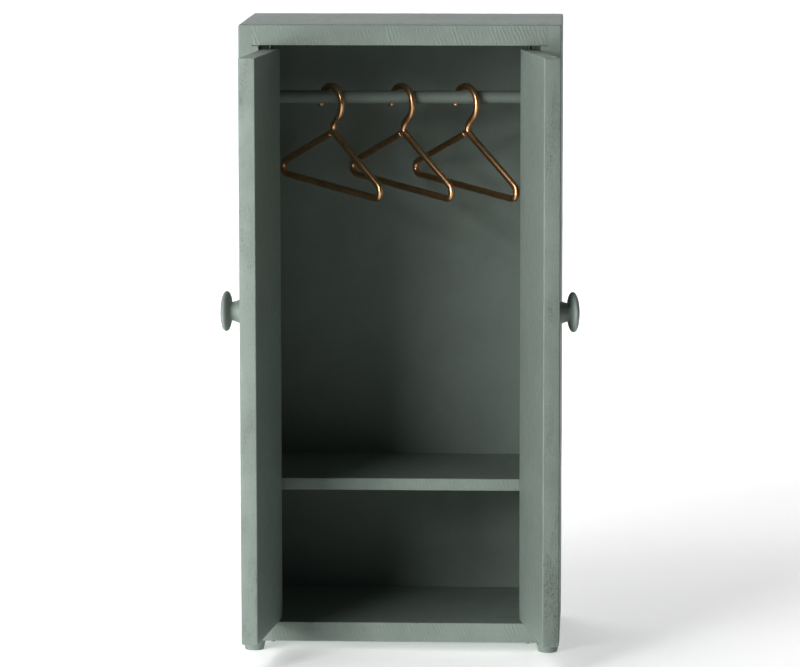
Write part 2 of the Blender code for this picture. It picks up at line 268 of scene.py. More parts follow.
def stretch(tree, vector, scale):
    """Places scaled along each axis; under 1 draws a pattern out longer."""
    node = tree.nodes.new("ShaderNodeMapping")
    plug(tree, node.inputs["Vector"], vector)
    node.inputs["Scale"].default_value = scale
    return node.outputs[0]


def clouds(tree, vector, scale, detail=3.0, roughness=0.5, distortion=0.0):
    """Soft noise from 0 to 1; scale counts its clouds per millimetre."""
    node = tree.nodes.new("ShaderNodeTexNoise")
    plug(tree, node.inputs["Vector"], vector)
    plug(tree, node.inputs["Scale"], scale)
    node.inputs["Detail"].default_value = detail
    node.inputs["Roughness"].default_value = roughness
    node.inputs["Distortion"].default_value = distortion
    return node.outputs["Fac"]


def remap(tree, value, low, high, to_low=0.0, to_high=1.0, smooth=True):
    """A value's range from low to high, spread over another range and clamped."""
    node = tree.nodes.new("ShaderNodeMapRange")
    node.interpolation_type = "SMOOTHSTEP" if smooth else "LINEAR"
    plug(tree, node.inputs["Value"], value)
    plug(tree, node.inputs["From Min"], low)
    plug(tree, node.inputs["From Max"], high)
    plug(tree, node.inputs["To Min"], to_low)
    plug(tree, node.inputs["To Max"], to_high)
    return node.outputs["Result"]


def mix_colour(tree, factor, a, b, blend="MIX"):
    """Colour b blended over colour a as far as factor says."""
    node = tree.nodes.new("ShaderNodeMix")
    node.data_type = "RGBA"
    node.blend_type = blend
    plug(tree, node.inputs["Factor"], factor)
    plug(tree, node.inputs["A"], a)
    plug(tree, node.inputs["B"], b)
    return node.outputs["Result"]


print("helpers ready for node groups")

# %% Cloudy colour: a thin coat lies thicker in some places
tree, given, result = new_group(
    "cloudy_coat",
    [("Vector", "vector", None), ("Colour", "colour", (0.3, 0.36, 0.32, 1)), ("Depth", "value", 0.5)],
    [("Colour", "colour")])
broad = clouds(tree, given["Vector"], 0.045, 4.0, 0.55, 0.6)
fine = clouds(tree, given["Vector"], 0.9, 3.0, 0.6)
both = math_node(tree, "ADD", math_node(tree, "MULTIPLY", broad, 0.7),
                 math_node(tree, "MULTIPLY", fine, 0.3))
lift = remap(tree, both, 0.3, 0.7, -0.12, 0.12, smooth=False)
gain = math_node(tree, "ADD", math_node(tree, "MULTIPLY", lift, given["Depth"]), 1.0)
grey = tree.nodes.new("ShaderNodeCombineColor")
for channel in range(3):
    plug(tree, grey.inputs[channel], gain)
plug(tree, result["Colour"], mix_colour(tree, 1.0, given["Colour"], grey.outputs[0], "MULTIPLY"))
cloudy_coat = tree
print("group", tree.name)

# %% Skin relief: brushed paint over wood fibres
tree, given, result = new_group(
    "brushed_skin",
    [("Vector", "vector", None), ("Fibre", "value", 0.5), ("Peel", "value", 0.5)],
    [("Height", "value")])
fibre = clouds(tree, stretch(tree, given["Vector"], (1.0, 1.0, 0.06)), 1.6, 4.0, 0.6)
peel = clouds(tree, given["Vector"], 1.15, 3.0, 0.6)
tooth = clouds(tree, given["Vector"], 5.0, 2.0, 0.5)
height = math_node(tree, "MULTIPLY", fibre, given["Fibre"])
height = math_node(tree, "MULTIPLY_ADD", peel, given["Peel"], height)
height = math_node(tree, "MULTIPLY_ADD", tooth, 0.12, height)
plug(tree, result["Height"], height)
brushed_skin = tree
print("group", tree.name)

# %% Cutter ripples: short slanted waves across the boards' front edges
tree, given, result = new_group(
    "cutter_ripples",
    [("Vector", "vector", None), ("Spacing", "value", 1.5), ("Slant", "value", 0.35),
     ("Cover", "value", 0.5)],
    [("Height", "value")])
apart = tree.nodes.new("ShaderNodeSeparateXYZ")
plug(tree, apart.inputs[0], given["Vector"])
bent = clouds(tree, given["Vector"], 0.22, 2.0, 0.5)
across = math_node(tree, "MULTIPLY_ADD", apart.outputs["Z"], given["Slant"], apart.outputs["X"])
across = math_node(tree, "MULTIPLY_ADD", bent, 1.6, across)
turns = math_node(tree, "DIVIDE", math_node(tree, "MULTIPLY", across, math.tau), given["Spacing"])
wave = math_node(tree, "MULTIPLY_ADD", math_node(tree, "SINE", turns), 0.5, 0.5)
wave = math_node(tree, "POWER", wave, 2.2)
patch = clouds(tree, stretch(tree, given["Vector"], (0.5, 1.0, 0.9)), 0.35, 2.0, 0.5)
patch = remap(tree, math_node(tree, "ADD", patch, given["Cover"]), 0.9, 1.15)
plug(tree, result["Height"], math_node(tree, "MULTIPLY", wave, patch))
cutter_ripples = tree
print("group", tree.name)

# %% Worn edges: rubbed thin where hands and sandpaper reach first
tree, given, result = new_group(
    "worn_edge",
    [("Vector", "vector", None), ("Reach", "value", 0.5), ("Breakup", "value", 0.5)],
    [("Mask", "value")])
shape = tree.nodes.new("ShaderNodeNewGeometry")
ridge = remap(tree, shape.outputs["Pointiness"], 0.505, 0.56)
ragged = clouds(tree, given["Vector"], 0.8, 4.0, 0.65)
ragged = remap(tree, ragged, 0.35, 0.65, 1.0, 0.0)
kept = math_node(tree, "SUBTRACT", 1.0, math_node(tree, "MULTIPLY", ragged, given["Breakup"]))
mask = math_node(tree, "MULTIPLY", math_node(tree, "MULTIPLY", ridge, kept), given["Reach"], clamp=True)
plug(tree, result["Mask"], mask)
worn_edge = tree
print("group", tree.name)

# %% Specks and dents: grit in the paint, small knocks
tree, given, result = new_group(
    "specks_and_dents",
    [("Vector", "vector", None), ("Size", "value", 0.12), ("Spread", "value", 0.5)],
    [("Specks", "value"), ("Dents", "value")])
cells = tree.nodes.new("ShaderNodeTexVoronoi")
plug(tree, cells.inputs["Vector"], given["Vector"])
cells.inputs["Scale"].default_value = 0.28
spot = remap(tree, cells.outputs["Distance"], math_node(tree, "MULTIPLY", given["Size"], 0.28), 0.0)
chosen = tree.nodes.new("ShaderNodeSeparateColor")
plug(tree, chosen.inputs[0], cells.outputs["Color"])
some = math_node(tree, "LESS_THAN", chosen.outputs[0], given["Spread"])
plug(tree, result["Specks"], math_node(tree, "MULTIPLY", spot, some))
knock = clouds(tree, given["Vector"], 0.55, 1.0, 0.4, 0.8)
plug(tree, result["Dents"], remap(tree, knock, 0.72, 0.82))
specks_and_dents = tree
print("group", tree.name)

# %% Rubbed patches: darker, rougher smears with open pores
tree, given, result = new_group(
    "rubbed_patches",
    [("Vector", "vector", None), ("Amount", "value", 0.5)],
    [("Smear", "value"), ("Pores", "value")])
smear = clouds(tree, stretch(tree, given["Vector"], (1.0, 1.0, 0.22)), 0.16, 5.0, 0.6, 0.5)
smear = remap(tree, smear, 0.47, 0.64)
pores = clouds(tree, stretch(tree, given["Vector"], (1.0, 1.0, 0.45)), 2.6, 3.0, 0.6)
pores = remap(tree, pores, 0.54, 0.62)
pores = math_node(tree, "MULTIPLY", pores, smear)
plug(tree, result["Smear"], math_node(tree, "MULTIPLY", smear, given["Amount"]))
plug(tree, result["Pores"], math_node(tree, "MULTIPLY", pores, given["Amount"]))
rubbed_patches = tree
print("group", tree.name)


# %% [markdown]
# Paint
#
# One function mixes the effects into a painted surface.  The colour starts
# from the coat, is rubbed paler on edges and darker in smears, and the relief
# goes to a bump.  The gloss is low and wavers a little, as it does where a
# brush has laid the paint unevenly.

# %% The paint function
def use_group(tree, group, **values):
    """Place a node group, plug its named inputs, and give back its outputs."""
    node = tree.nodes.new("ShaderNodeGroup")
    node.node_tree = group
    for label, value in values.items():
        plug(tree, node.inputs[label.replace("_", " ")], value)
    return node.outputs


def blank_material(name):
    """A material with its shader, and its places in millimetres."""
    made = bpy.data.materials.new(name)
    made.use_nodes = True
    tree = made.node_tree
    shader = tree.nodes["Principled BSDF"]
    coords = tree.nodes.new("ShaderNodeTexCoord")
    scaled = stretch(tree, coords.outputs["Object"], (1000.0, 1000.0, 1000.0))
    return made, tree, shader, scaled


def bump(tree, height, distance, strength=1.0, normal=None):
    """Relief from a height; distance is how deep it is, in metres."""
    node = tree.nodes.new("ShaderNodeBump")
    node.inputs["Strength"].default_value = strength
    node.inputs["Distance"].default_value = distance
    plug(tree, node.inputs["Height"], height)
    if normal is not None:
        plug(tree, node.inputs["Normal"], normal)
    return node.outputs["Normal"]


def paint(name, colour, gloss=0.5, depth=0.6, fibre=0.25, peel=0.35, ripples=0.0, cover=0.5,
          rub=0.35, speck_size=0.13, speck_spread=0.12, smears=0.0, smear_height=30.0, smear_reach=26.0):
    """Painted wood; every effect has its own strength."""
    made, tree, shader, place = blank_material(name)
    coat = use_group(tree, cloudy_coat, Vector=place, Colour=(*colour, 1.0), Depth=depth)["Colour"]
    edge = use_group(tree, worn_edge, Vector=place, Reach=rub, Breakup=0.7)["Mask"]
    marks = use_group(tree, specks_and_dents, Vector=place, Size=speck_size, Spread=speck_spread)
    apart = tree.nodes.new("ShaderNodeSeparateXYZ")
    plug(tree, apart.inputs[0], place)
    away = math_node(tree, "ABSOLUTE", math_node(tree, "SUBTRACT", apart.outputs["Z"], smear_height))
    near = remap(tree, away, 0.0, smear_reach, smears, smears * 0.55)
    rubbed = use_group(tree, rubbed_patches, Vector=place, Amount=near)
    skin = use_group(tree, brushed_skin, Vector=place, Fibre=fibre, Peel=peel)["Height"]
    wave = use_group(tree, cutter_ripples, Vector=place, Cover=cover)["Height"]
    pale = tuple(min(1.0, c * 1.28 + 0.02) for c in colour) + (1.0,)
    dark = tuple(c * 0.45 for c in colour) + (1.0,)
    grit = (colour[0] * 0.35, colour[1] * 0.26, colour[2] * 0.22, 1.0)
    base = mix_colour(tree, edge, coat, pale)
    base = mix_colour(tree, math_node(tree, "MULTIPLY", rubbed["Smear"], 0.16), base, dark)
    base = mix_colour(tree, math_node(tree, "MULTIPLY", rubbed["Pores"], 0.75), base, dark)
    base = mix_colour(tree, math_node(tree, "MULTIPLY", marks["Specks"], 0.8), base, grit)
    plug(tree, shader.inputs["Base Color"], base)
    waver = clouds(tree, place, 0.3, 3.0, 0.5)
    rough = remap(tree, waver, 0.3, 0.7, gloss - 0.06, gloss + 0.08, smooth=False)
    rough = math_node(tree, "MULTIPLY_ADD", rubbed["Smear"], 0.1, rough)
    plug(tree, shader.inputs["Roughness"], rough)
    shader.inputs["Specular IOR Level"].default_value = 0.42
    relief = bump(tree, skin, 0.1 * MM)
    hollow = math_node(tree, "MULTIPLY_ADD", marks["Dents"], -0.5, 0.0)
    hollow = math_node(tree, "MULTIPLY_ADD", rubbed["Pores"], -0.6, hollow)
    hollow = math_node(tree, "MULTIPLY_ADD", marks["Specks"], 0.5, hollow)
    relief = bump(tree, hollow, 0.08 * MM, normal=relief)
    if ripples:
        relief = bump(tree, wave, 0.16 * MM, ripples, relief)
    plug(tree, shader.inputs["Normal"], relief)
    return made


SAGE = (0.303, 0.352, 0.322)
paint_face = paint("paint_face", SAGE, rub=0.2)
paint_edge = paint("paint_edge", SAGE, ripples=0.45, cover=0.52, fibre=0.5, rub=0.1, speck_spread=0.2)
# The inside paint is the same sage made darker by 0.86: painted shade, so that the shelf, back panel and
# rail inside the case stay dim.
paint_inside_shade_darkened = paint("paint_inside_shade_darkened", tuple(c * 0.86 for c in SAGE), gloss=0.55, rub=0.15)
paint_door = paint("paint_door", SAGE, depth=0.5)
paint_door_edge = paint("paint_door_edge", SAGE, fibre=0.8, peel=1.2, ripples=0.25, cover=0.3, smears=1.0,
                        speck_size=0.2, speck_spread=0.3, depth=0.8)
paint_turned = paint("paint_turned", SAGE, gloss=0.42, fibre=0.1, peel=0.6, rub=0.5,
                     speck_size=0.3, speck_spread=0.22)
print("paints:", [m.name for m in (paint_face, paint_edge, paint_inside_shade_darkened, paint_door, paint_turned)])

# %% [markdown]
# Metals
#
# The hangers are drawn wire with a satin copper-coloured plating: bright
# along the wire, with faint drawing lines and slightly darker patches here
# and there.  The pins are dull, dark steel.

# %% Copper wire and steel
def metal(name, colour, tarnish, gloss):
    """Drawn metal: broad tarnish, fine lines along Z, and a satin gloss."""
    made, tree, shader, place = blank_material(name)
    shader.inputs["Metallic"].default_value = 1.0
    patches = clouds(tree, place, 0.12, 3.0, 0.5, 0.3)
    lines = clouds(tree, stretch(tree, place, (1.0, 1.0, 0.25)), 5.0, 3.0, 0.6)
    base = mix_colour(tree, remap(tree, patches, 0.42, 0.68), (*colour, 1.0), (*tarnish, 1.0))
    plug(tree, shader.inputs["Base Color"], base)
    rough = remap(tree, patches, 0.3, 0.7, gloss - 0.03, gloss + 0.05, smooth=False)
    plug(tree, shader.inputs["Roughness"], math_node(tree, "MULTIPLY_ADD", lines, 0.05, rough))
    plug(tree, shader.inputs["Normal"], bump(tree, lines, 0.002 * MM))
    return made


copper_wire = metal("copper_wire", (0.86, 0.57, 0.35), (0.76, 0.48, 0.28), 0.27)
pin_metal = metal("pin_metal", (0.20, 0.20, 0.19), (0.11, 0.105, 0.10), 0.45)
print("metals:", copper_wire.name, pin_metal.name)

# %% [markdown]
# The case
#
# Two side boards run the full height.  Their ends are rabbeted, so the top
# and bottom boards sit between thin tongues.  At the front the seams are
# sanded flush and painted over, so a side board's edge is eased everywhere
# but beside its neighbour.  A rabbet at the back takes the back panel, flush.
# Each board is lofted separately, so the seams are real.

# %% Side boards
EASE = 0.6 * MM               # most outer edges
BASE_EASE = 0.5 * MM          # along the lower outer edge of a side board
CRISP = 0.02 * MM             # at a tongue's tip
SIDE_ROUND = 0.8 * MM         # along the top of a side board
REAR_ROUND = 3.0 * MM         # rear edges of the sides and the top
RING_SPACING = 4.0 * MM
SAME = 1e-6                   # two places this close are one
CAD_GAP = 0.3 * MM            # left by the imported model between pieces
BACK_THICK = back_high.y - back_low.y
WORKED = 0.05 * MM            # how far hand work leaves a face from flat
WORK_SIZE = 14.0 * MM         # from one low place to the next


def side_board(side, hand, low, high):
    """XZ outline with a rabbet at each end, carried from front to back."""
    outer, inner = (low.x, high.x) if hand < 0 else (high.x, low.x)
    tongue = top_low.x - CAD_GAP if hand < 0 else top_high.x + CAD_GAP
    base, top = low.z, high.z
    ledge, roof = FLOOR + JOINT_GAP, CEILING - JOINT_GAP
    corners = [(outer, base, BASE_EASE), (tongue, base, CRISP), (tongue, ledge, 0), (inner, ledge, 0),
               (inner, roof, 0), (tongue, roof, 0), (tongue, top, CRISP), (outer, top, SIDE_ROUND)]
    full = filled_outline(rounded_outline(corners), RING_SPACING)
    behind = [Vector((tongue if abs(p.x - inner) < SAME else p.x, p.y)) for p in full]
    seam = (tongue, (base + top) / 2)
    step = REAR - BACK_THICK - JOINT_GAP
    rings = []
    stepped = False
    for y, inset in stations(FRONT, REAR, EASE, RING_SPACING, REAR_ROUND):
        if y > step and not stepped:
            rings += [[(p.x, step, p.y) for p in outline] for outline in (full, behind)]
            stepped = True
        outline = pulled_in(behind, inset, seam) if stepped else pulled_in(full, inset)
        rings.append([(tongue if abs(p.x - tongue) < SAME else q.x, y, q.y) for p, q in zip(full, outline)])
    bm = loft(rings)
    wander(bm, WORKED, WORK_SIZE, 1 + hand)
    return finished(f"side_board_{side}", bm, [paint_face], "case", [f"side_panel_{side}"])


side_board("left", -1, left_low, left_high)
side_board("right", 1, right_low, right_high)

# %% Top, bottom, back panel and shelf
ENDS = (top_low.x - CAD_GAP + JOINT_GAP, top_high.x + CAD_GAP - JOINT_GAP)
HAIR = 0.005 * MM             # ease where two boards meet flush
BACK_LAP = 3.7 * MM           # how far the back panel reaches over a board's edge
MOUTH_EASE = 0.3 * MM         # round the opening
LAP_EASE = 0.15 * MM
SHELF_EASE = 0.4 * MM
PANEL_SPACING = 6.0 * MM


def is_front(face):
    """True for the edge that faces the viewer, where the ripples are."""
    return face.normal.y < -0.7


def cross_board(name, corners, ends, replaced, seed, skin=None):
    """A YZ outline carried from one side board to the other."""
    outline = filled_outline(rounded_outline(corners))
    bm = board_mesh(outline, "x", ends[0], ends[1], HAIR)
    wander(bm, WORKED, WORK_SIZE, seed)
    surfaces = [skin or paint_face, paint_edge]
    return finished(name, bm, surfaces, "case", [replaced], edge_test=is_front)


def case_corners(inside, outside, rear_round):
    """Outline of the top or bottom board with its rabbet for the back panel."""
    way = 1 if outside > inside else -1
    step = REAR - BACK_THICK - JOINT_GAP
    lap = inside + way * BACK_LAP
    return [(FRONT, inside, MOUTH_EASE), (step, inside, 0), (step, lap, 0), (REAR, lap, LAP_EASE),
            (REAR, outside, rear_round), (FRONT, outside, EASE)]


cross_board("top_board", case_corners(CEILING, top_high.z, REAR_ROUND), ENDS, "top_panel", 3)
cross_board("bottom_board", case_corners(FLOOR, bottom_low.z, EASE), ENDS, "bottom_panel", 4)
INNER = (left_high.x, right_low.x)
shelf_rear = REAR - BACK_THICK - JOINT_GAP
shelf_corners = [(shelf_low.y, shelf_low.z, SHELF_EASE), (shelf_rear, shelf_low.z, 0),
                 (shelf_rear, shelf_high.z, 0), (shelf_low.y, shelf_high.z, SHELF_EASE)]
cross_board("shelf_board", shelf_corners, INNER, "shelf", 5, paint_inside_shade_darkened)
panel_corners = [(ENDS[0], back_low.y, 0), (ENDS[1], back_low.y, 0),
                 (ENDS[1], REAR, HAIR), (ENDS[0], REAR, HAIR)]
panel = board_mesh(filled_outline(rounded_outline(panel_corners), PANEL_SPACING), "z",
                   FLOOR - BACK_LAP + JOINT_GAP, CEILING + BACK_LAP - JOINT_GAP, HAIR)
wander(panel, WORKED, size=30 * MM, seed=6)
finished("back_sheet", panel, [paint_inside_shade_darkened], "case", ["back_panel"])

# %% [markdown]
# Doors
#
# A door is a plain leaf whose edge beside the pins is rounded on the outside,
# so that it can turn next to the side board.  It is drawn closed, in its own
# frame about the pins, and then turned to where it stands open.  Holes take
# the pins at both ends.

# %% The frame of each door
def door_frame(side, hand):
    """Matrix from a closed door's own frame, with the pins on Z, to the world."""
    joint = joints[f"{side}_door_hinge"]
    opening = math.radians(joint["range_deg"][1])
    place = Vector((joint["pos_m"][0], joint["pos_m"][1], 0.0))
    return Matrix.Translation(place) @ Matrix.Rotation(hand * opening, 4, "Z")


def own_box(node, frame_matrix):
    """A CAD node's lowest and highest corners in another frame."""
    back = frame_matrix.inverted()
    spots = np.array([(back @ v.co)[:] for v in frame["nodes"][node].data.vertices])
    return Vector(spots.min(0)), Vector(spots.max(0))


HANDS = {"left": -1, "right": 1}
door_frames = {side: door_frame(side, hand) for side, hand in HANDS.items()}
for side in HANDS:
    low, high = own_box(f"door_{side}", door_frames[side])
    print(side, "door in its own frame, mm:",
          [round(v / MM, 1) for v in low], [round(v / MM, 1) for v in high])

# %% Door leaves
TAIL_ROUND = 2.4 * MM         # outside, beside the pins
TAIL_EASE = 1.0 * MM          # inside, beside the pins
OUTER_EASE = 0.5 * MM
INNER_EASE = 0.4 * MM
PIN_HOLE = 0.95 * MM
PIN_DEPTH = 8.3 * MM


def rod_mesh(radius, low, high, sides=24):
    """A plain rod on Z, to cut a hole with."""
    ring = [Vector((radius * math.cos(math.tau * k / sides), radius * math.sin(math.tau * k / sides)))
            for k in range(sides)]
    return loft([[(p.x, p.y, z) for p in ring] for z in (low, high)])


def combined(base, other, operation):
    """Exact Boolean of two bmeshes, as a new bmesh; both inputs are used up."""
    shapes = []
    for bm in (base, other):
        mesh = bpy.data.meshes.new("work")
        bm.to_mesh(mesh)
        bm.free()
        thing = bpy.data.objects.new("work", mesh)
        bpy.context.scene.collection.objects.link(thing)
        shapes.append(thing)
    modifier = shapes[0].modifiers.new("join", "BOOLEAN")
    modifier.operation = operation
    modifier.solver = "EXACT"
    modifier.object = shapes[1]
    bpy.context.view_layer.update()
    graph = bpy.context.evaluated_depsgraph_get()
    result_mesh = bpy.data.meshes.new_from_object(shapes[0].evaluated_get(graph))
    made = bmesh.new()
    made.from_mesh(result_mesh)
    bpy.data.meshes.remove(result_mesh)
    for thing in shapes:
        mesh = thing.data
        bpy.data.objects.remove(thing)
        bpy.data.meshes.remove(mesh)
    return made


def is_rim(face):
    """True for a leaf's four narrow edges, where the paint is rougher."""
    return abs(face.normal.x) > 0.75 or abs(face.normal.z) > 0.75


def door_leaf(side, hand):
    """A closed leaf, bored at both ends and then turned to where it stands."""
    low, high = own_box(f"door_{side}", door_frames[side])
    tail, free = (high.x, low.x) if hand > 0 else (low.x, high.x)
    corners = [(tail, low.y, TAIL_ROUND), (free, low.y, OUTER_EASE), (free, high.y, INNER_EASE),
               (tail, high.y, TAIL_EASE)]
    outline = filled_outline(rounded_outline(corners))
    bm = board_mesh(outline, "z", low.z, high.z, OUTER_EASE)
    wander(bm, WORKED, size=18 * MM, seed=7 + hand)
    for start, stop in ((low.z - MM, low.z + PIN_DEPTH), (high.z - PIN_DEPTH, high.z + MM)):
        bm = combined(bm, rod_mesh(PIN_HOLE, start, stop), "DIFFERENCE")
    return finished(f"leaf_{side}", bm, [paint_door, paint_door_edge], f"{side}_door", [f"door_{side}"],
                    door_frames[side], edge_test=is_rim)


for side, hand in HANDS.items():
    door_leaf(side, hand)

# %% [markdown]
# Turned pieces
#
# Knobs and feet come off a small lathe.  Their half sections are smooth
# curves through a few radii, turned in fine steps.  The knob's face keeps a
# low ring of torn fibres around its centre, where the lathe let go of it, and
# the paint has thickened there into small bumps.

# %% Turning
def smooth_section(pairs, steps=6):
    """Catmull-Rom curve through (radius, height) pairs."""
    spots = [Vector(pairs[0])] + [Vector(p) for p in pairs] + [Vector(pairs[-1])]
    full = []
    for a, b, c, d in zip(spots, spots[1:], spots[2:], spots[3:]):
        for k in range(steps):
            t = k / steps
            full.append(0.5 * (2 * b + (c - a) * t + (2 * a - 5 * b + 4 * c - d) * t * t
                               + (3 * b - a - 3 * c + d) * t ** 3))
    full.append(spots[-1])
    return full


def turned(section, sides=72):
    """A closed mesh from a half section whose ends lie on the axis."""
    bm = bmesh.new()
    rings = []
    for point in section[1:-1]:
        radius = max(point.x, 0.02 * MM)
        rings.append([bm.verts.new((radius * math.cos(math.tau * k / sides),
                                    radius * math.sin(math.tau * k / sides), point.y))
                      for k in range(sides)])
    for a, b in zip(rings, rings[1:]):
        for k in range(sides):
            n = (k + 1) % sides
            bm.faces.new((a[k], a[n], b[n], b[k]))
    for ring, height in ((rings[0], section[0].y), (rings[-1], section[-1].y)):
        tip = bm.verts.new((0, 0, height))
        for k in range(sides):
            bm.faces.new((ring[k], ring[(k + 1) % sides], tip))
    bmesh.ops.recalc_face_normals(bm, faces=bm.faces)
    return bm


print("turned pieces use 72 sides")

# %% Knobs
KNOB_TENON = [(0.0, -4.8), (1.4, -4.75), (1.5, -4.5), (1.5, -1.0), (1.5, 0.0)]
KNOB_BODY = [(4.75, 0.02), (4.6, 1.0), (4.35, 2.0), (4.0, 3.0), (3.7, 3.8), (3.55, 4.4), (3.75, 4.85),
             (4.5, 5.15), (5.7, 5.4), (6.75, 5.7), (7.35, 6.1), (7.62, 6.55), (7.62, 6.95), (7.35, 7.4),
             (6.75, 7.75), (5.9, 8.03), (4.7, 8.25), (3.2, 8.4), (2.4, 8.44), (1.0, 8.46), (0.0, 8.46)]
FACE_FROM = 8.05 * MM         # the face lies above this height
RING = 1.65 * MM              # radius of the bumpy ring on the face
RING_HEIGHT = 0.44 * MM
RING_SPREAD = 0.42 * MM
TEAR_SIZE = 1.5 * MM          # from one torn place on the ring to the next
CRUMB_RADIUS = 2.7 * MM       # crumbs of paint lie round the ring
CRUMB_SPREAD = 0.4 * MM
CRUMB_HEIGHT = 0.3 * MM
CRUMB_SIZE = 1.1 * MM
KNOB_LEAN = {"left": 0.3, "right": 1.4}


def knob(side):
    """A turned knob with its tenon, glued a little askew into its door."""
    matrix = door_frames[side]
    low, high = own_box(f"knob_{side}", matrix)
    leaf_low = own_box(f"door_{side}", matrix)[0]
    middle = Vector(((low.x + high.x) / 2, leaf_low.y, (low.z + high.z) / 2))
    pairs = [(r * MM, h * MM) for r, h in KNOB_TENON]
    body = smooth_section([(r * MM, h * MM) for r, h in KNOB_BODY])
    bm = turned([Vector(p) for p in pairs] + body)
    seed = Vector((middle.x, 3.0, 5.0))
    for vert in bm.verts:
        radius = math.hypot(vert.co.x, vert.co.y)
        if vert.co.z > FACE_FROM:
            ridge = math.exp(-((radius - RING) / RING_SPREAD) ** 2)
            torn = 0.85 + 0.45 * noise.noise(vert.co / TEAR_SIZE + seed)
            vert.co.z += RING_HEIGHT * ridge * min(1.0, torn)
            spread = math.exp(-((radius - CRUMB_RADIUS) / CRUMB_SPREAD) ** 2)
            crumb = max(0.0, noise.noise(vert.co / CRUMB_SIZE + seed * 2) - 0.15)
            vert.co.z += CRUMB_HEIGHT * crumb * spread
    wander(bm, amount=0.04 * MM, size=4 * MM, seed=11)
    lean = Matrix.Rotation(math.radians(KNOB_LEAN[side]), 4, "Y")
    seat = Matrix.Translation(middle) @ Matrix.Rotation(math.pi / 2, 4, "X") @ lean
    return finished(f"turned_knob_{side}", bm, [paint_turned], f"{side}_door", [f"knob_{side}"],
                    matrix @ seat)


for side in HANDS:
    knob(side)

# %% Feet
FOOT_TAPER = 0.845            # radius at the ground over radius at the top


def foot(node, seed):
    """A short tapered foot, a little out of round, glued under the case."""
    low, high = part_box(node)
    top = high.z + CAD_GAP - JOINT_GAP
    wide = (high.x - low.x) / 2
    tip = wide * FOOT_TAPER
    pairs = [(0, 0), (tip * 0.5, 0), (tip - 0.5 * MM, 0), (tip - 0.12 * MM, 0.12 * MM), (tip, 0.5 * MM),
             ((tip + wide) / 2, top * 0.55), (wide, top - 0.02 * MM), (wide * 0.6, top), (0, top)]
    bm = turned(smooth_section(pairs))
    for vert in bm.verts:
        vert.co.z = min(max(vert.co.z, 0.0), top)
        if 0.3 * MM < vert.co.z < top - 0.3 * MM:
            vert.co.xy *= 1 + 0.012 * noise.noise(vert.co / (3 * MM) + Vector((seed, 0, 0)))
    place = Matrix.Translation(((low.x + high.x) / 2, (low.y + high.y) / 2, 0.0))
    return finished(f"turned_{node}", bm, [paint_turned], "case", [node], place)


for seed, node in enumerate(("foot_front_left", "foot_front_right", "foot_rear_left", "foot_rear_right")):
    foot(node, seed)

# %% Rail and pins
def rail():
    """A round rail from one side board to the other."""
    low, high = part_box("clothes_rail")
    radius = (high.z - low.z) / 2
    middle = (low + high) / 2
    outline = [Vector((middle.y + radius * math.cos(math.tau * k / 48),
                       middle.z + radius * math.sin(math.tau * k / 48))) for k in range(48)]
    bm = board_mesh(outline, "x", low.x, high.x, 0.4 * MM)
    wander(bm, WORKED, size=8 * MM, seed=21)
    return finished("round_rail", bm, [paint_inside_shade_darkened], "case", ["clothes_rail"])


def pin(node):
    """A drawn pin: a slightly domed end, its other end inside the wood."""
    low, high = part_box(node)
    radius = (high.x - low.x) / 2
    length = high.z - low.z
    pairs = [(0, 0), (radius * 0.7, 0.03 * MM), (radius * 0.95, 0.16 * MM), (radius, 0.4 * MM),
             (radius, length / 2), (radius, length - 0.4 * MM), (radius * 0.95, length - 0.16 * MM),
             (radius * 0.7, length - 0.03 * MM), (0, length)]
    bm = turned(smooth_section(pairs, 4), 32)
    for vert in bm.verts:
        vert.co.z = min(max(vert.co.z, 0.0), length)
    place = Matrix.Translation(((low.x + high.x) / 2, (low.y + high.y) / 2, low.z))
    return finished("drawn_" + node, bm, [pin_metal], "case", [node], place)


rail()
for level in ("top", "bottom"):
    for side in HANDS:
        pin(f"pivot_pin_{level}_{side}")

# %% [markdown]
# Hangers
#
# Each hanger is one length of wire.  It is bent over a former into a hook,
# runs down the neck, along one arm, round a corner, along the bar, round the
# other corner, and back up to the neck, where a drop of solder holds its cut
# end.  The path is drawn flat with arcs at the bends, and a round section is
# swept along it.  It leans until its weight hangs under the rail.

# %% The wire's path
WIRE = 1.3 * MM
HOOK = 7.0 * MM
HOOK_SHIFT = 0.4 * MM
HOOK_LIFT = 0.5 * MM
NECK = Vector((2.4 * MM, -18.0 * MM))
ARM = Vector((42.0 * MM, -21.8 * MM))
CORNER = 2.8 * MM
NECK_BEND = 2.2 * MM
HANGER_TURN = math.radians(51.0)
rail_low, rail_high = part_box("clothes_rail")
RAIL_RADIUS = (rail_high.z - rail_low.z) / 2


def wire_path():
    """Centre line in the hanger's plane, from hook tip to cut end."""
    hook = []
    for k in range(41):
        angle = math.radians(191 - 216 * k / 40)
        hook.append(Vector((HOOK_SHIFT + HOOK * math.cos(angle), HOOK * (math.sin(angle) - 1))))
    leave = math.radians(-25)
    start = hook[-1]
    lean_out = start + Vector((math.sin(leave), -math.cos(leave))) * 2.6 * MM
    end = NECK + Vector((0.0, 1.6 * MM))
    lean_in = end + Vector((0.0, 2.6 * MM))
    bend = []
    for k in range(1, 12):
        t = k / 12
        s = 1 - t
        bend.append(start * s**3 + lean_out * 3 * s * s * t + lean_in * 3 * s * t * t + end * t**3)
    rear = NECK + Vector((-ARM.x, ARM.y))
    stop = NECK - (NECK - rear).normalized() * 2.2 * MM
    route = [(*end, 0), (*NECK, NECK_BEND), (*(NECK + ARM), CORNER), (*rear, CORNER), (*stop, 0)]
    return hook + bend + filled_outline(rounded_outline(route, 10), 1.5 * MM, closed=False)


path = wire_path()
print("hanger wire has", len(path), "points and is",
      round(sum((b - a).length for a, b in zip(path, path[1:])) / MM), "mm long")

